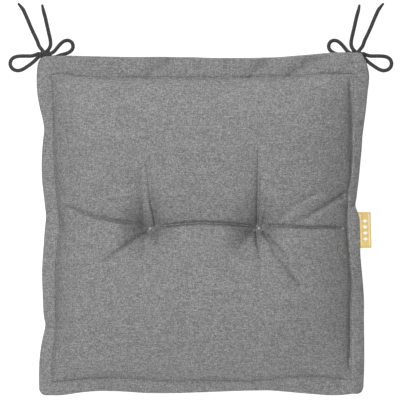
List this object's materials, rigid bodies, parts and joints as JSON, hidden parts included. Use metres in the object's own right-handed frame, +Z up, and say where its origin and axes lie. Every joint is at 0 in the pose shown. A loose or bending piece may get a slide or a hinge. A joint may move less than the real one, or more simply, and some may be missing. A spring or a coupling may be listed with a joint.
{
  "type": "chair seat pad",
  "caption": "Square stuffed seat pad with a flat topstitched flange, tufts through its middle, a folded side label and cord ties with bows at its rear corners.",
  "frame": {"origin": "middle of the flat underside, on the surface the pad lies on", "axes": "+Z up through the pad; +Y towards the rear edge, the one with the ties; +X to the right, towards the side label"},
  "size_m": [0.5221, 0.533, 0.0714],
  "materials": {
    "cover_fabric": "mid-grey melange plain weave, matt, with fine slubs",
    "fill_fibre": "off-white loose polyester fibre",
    "sewing_thread": "grey spun polyester sewing thread, slight sheen",
    "tie_cord": "charcoal braided round cord, matt",
    "label_satin": "gold woven satin with a plain white geometric border"
  },
  "bodies": {
    "pad": {"top_cover": "cover_fabric", "bottom_cover": "cover_fabric", "fibre_fill": "fill_fibre", "topstitch_needle_thread": "sewing_thread", "topstitch_bobbin_thread": "sewing_thread", "edge_seam_thread": "sewing_thread", "tuft_thread_left": "sewing_thread", "tuft_thread_right": "sewing_thread", "tie_left_tack": "sewing_thread", "tie_right_tack": "sewing_thread"},
    "label": {"side_label": "label_satin"},
    "tie_left": {"tie_left_knot": "tie_cord", "tie_left_outer_tail": "tie_cord", "tie_left_inner_tail": "tie_cord", "tie_left_outer_loop": "tie_cord", "tie_left_inner_loop": "tie_cord", "tie_left_stem_outer": "tie_cord", "tie_left_stem_inner": "tie_cord"},
    "tie_right": {"tie_right_knot": "tie_cord", "tie_right_outer_tail": "tie_cord", "tie_right_inner_tail": "tie_cord", "tie_right_outer_loop": "tie_cord", "tie_right_inner_loop": "tie_cord", "tie_right_stem_outer": "tie_cord", "tie_right_stem_inner": "tie_cord"}
  },
  "joints": [
    {"name": "label_flap", "type": "hinge", "parent": "pad", "child": "label", "pos_m": [0.213, -0.007, 0.015], "axis": [0, 1, 0], "range_deg": [-80, 80], "stiffness_Nm_per_rad": 0.002},
    {"name": "tie_left_swing", "type": "hinge", "parent": "pad", "child": "tie_left", "pos_m": [-0.2152, 0.2185, 0.0091], "axis": [0, 0, 1], "range_deg": [-60, 90]},
    {"name": "tie_right_swing", "type": "hinge", "parent": "pad", "child": "tie_right", "pos_m": [0.2093, 0.2185, 0.0091], "axis": [0, 0, 1], "range_deg": [-90, 60]}
  ]
}
